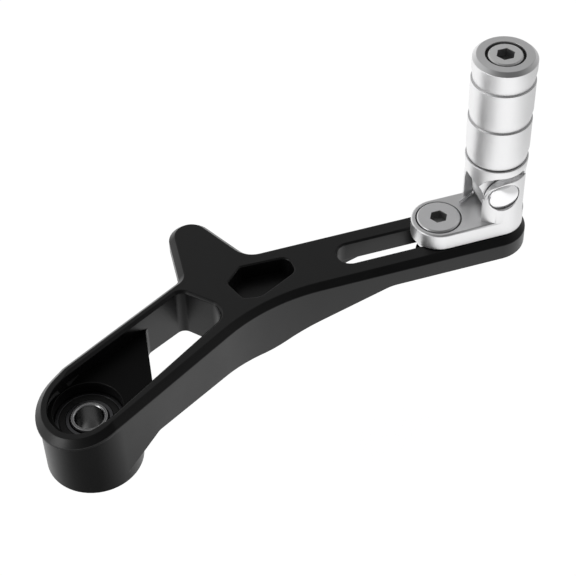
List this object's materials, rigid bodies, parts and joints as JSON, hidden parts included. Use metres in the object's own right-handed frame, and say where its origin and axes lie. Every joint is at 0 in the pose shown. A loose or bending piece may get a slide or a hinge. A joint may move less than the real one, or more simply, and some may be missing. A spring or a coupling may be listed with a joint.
{
  "type": "motorcycle gear shift lever",
  "caption": "Cranked black shift lever with pocketed arm, ball-bearing pivot boss, slotted end and a clamped silver bracket with a folding grooved toe peg.",
  "frame": {"origin": "pivot axis at the lower face of the pivot boss", "axes": "+X along the adjustment slot towards the toe peg, +Z along the pivot and the toe peg, away from the boss's lower face"},
  "size_m": [0.1691, 0.0788, 0.0943],
  "materials": {
    "arm_black": "black anodised, fine satin",
    "bracket_silver": "clear anodised, satin",
    "grip_silver": "clear anodised, turned",
    "core_silver": "clear anodised, satin",
    "screw_steel": "plain, turned",
    "pin_steel": "polished",
    "spring_steel": "drawn wire",
    "sleeve_steel": "ground",
    "bearing_steel": "ground",
    "nut_steel": "blackened",
    "seal_rubber": "matt"
  },
  "bodies": {
    "arm": {"lever_arm": "arm_black", "lower_bearing_outer_ring": "bearing_steel", "lower_bearing_lower_seal": "seal_rubber", "lower_bearing_upper_seal": "seal_rubber", "lower_bearing_ball_01": "bearing_steel", "lower_bearing_ball_02": "bearing_steel", "lower_bearing_ball_03": "bearing_steel", "lower_bearing_ball_04": "bearing_steel", "lower_bearing_ball_05": "bearing_steel", "lower_bearing_ball_06": "bearing_steel", "lower_bearing_ball_07": "bearing_steel", "lower_bearing_ball_08": "bearing_steel", "lower_bearing_ball_09": "bearing_steel", "lower_bearing_ball_10": "bearing_steel", "lower_bearing_ball_11": "bearing_steel", "upper_bearing_outer_ring": "bearing_steel", "upper_bearing_lower_seal": "seal_rubber", "upper_bearing_upper_seal": "seal_rubber", "upper_bearing_ball_01": "bearing_steel", "upper_bearing_ball_02": "bearing_steel", "upper_bearing_ball_03": "bearing_steel", "upper_bearing_ball_04": "bearing_steel", "upper_bearing_ball_05": "bearing_steel", "upper_bearing_ball_06": "bearing_steel", "upper_bearing_ball_07": "bearing_steel", "upper_bearing_ball_08": "bearing_steel", "upper_bearing_ball_09": "bearing_steel", "upper_bearing_ball_10": "bearing_steel", "upper_bearing_ball_11": "bearing_steel"},
    "pivot": {"pivot_sleeve": "sleeve_steel", "lower_bearing_inner_ring": "bearing_steel", "upper_bearing_inner_ring": "bearing_steel"},
    "bracket": {"peg_bracket": "bracket_silver", "clamp_screw": "screw_steel", "clamp_nut": "nut_steel", "hinge_pin": "pin_steel", "torsion_spring": "spring_steel"},
    "peg": {"peg_core": "core_silver", "peg_grip": "grip_silver", "end_cap_screw": "screw_steel", "cap_ring": "seal_rubber"}
  },
  "joints": [
    {"name": "pivot_turn", "type": "hinge", "parent": "arm", "child": "pivot", "pos_m": [0, 0, 0], "axis": [0, 0, 1], "continuous": true},
    {"name": "bracket_slide", "type": "slide", "parent": "arm", "child": "bracket", "axis": [-1, 0, 0], "range_m": [0, 0.025]},
    {"name": "peg_fold", "type": "hinge", "parent": "bracket", "child": "peg", "pos_m": [0.1428, 0.03165, 0.044], "axis": [0, -1, 0], "range_deg": [0, 70], "stiffness_Nm_per_rad": 0.08, "springref_deg": -34.38}
  ]
}
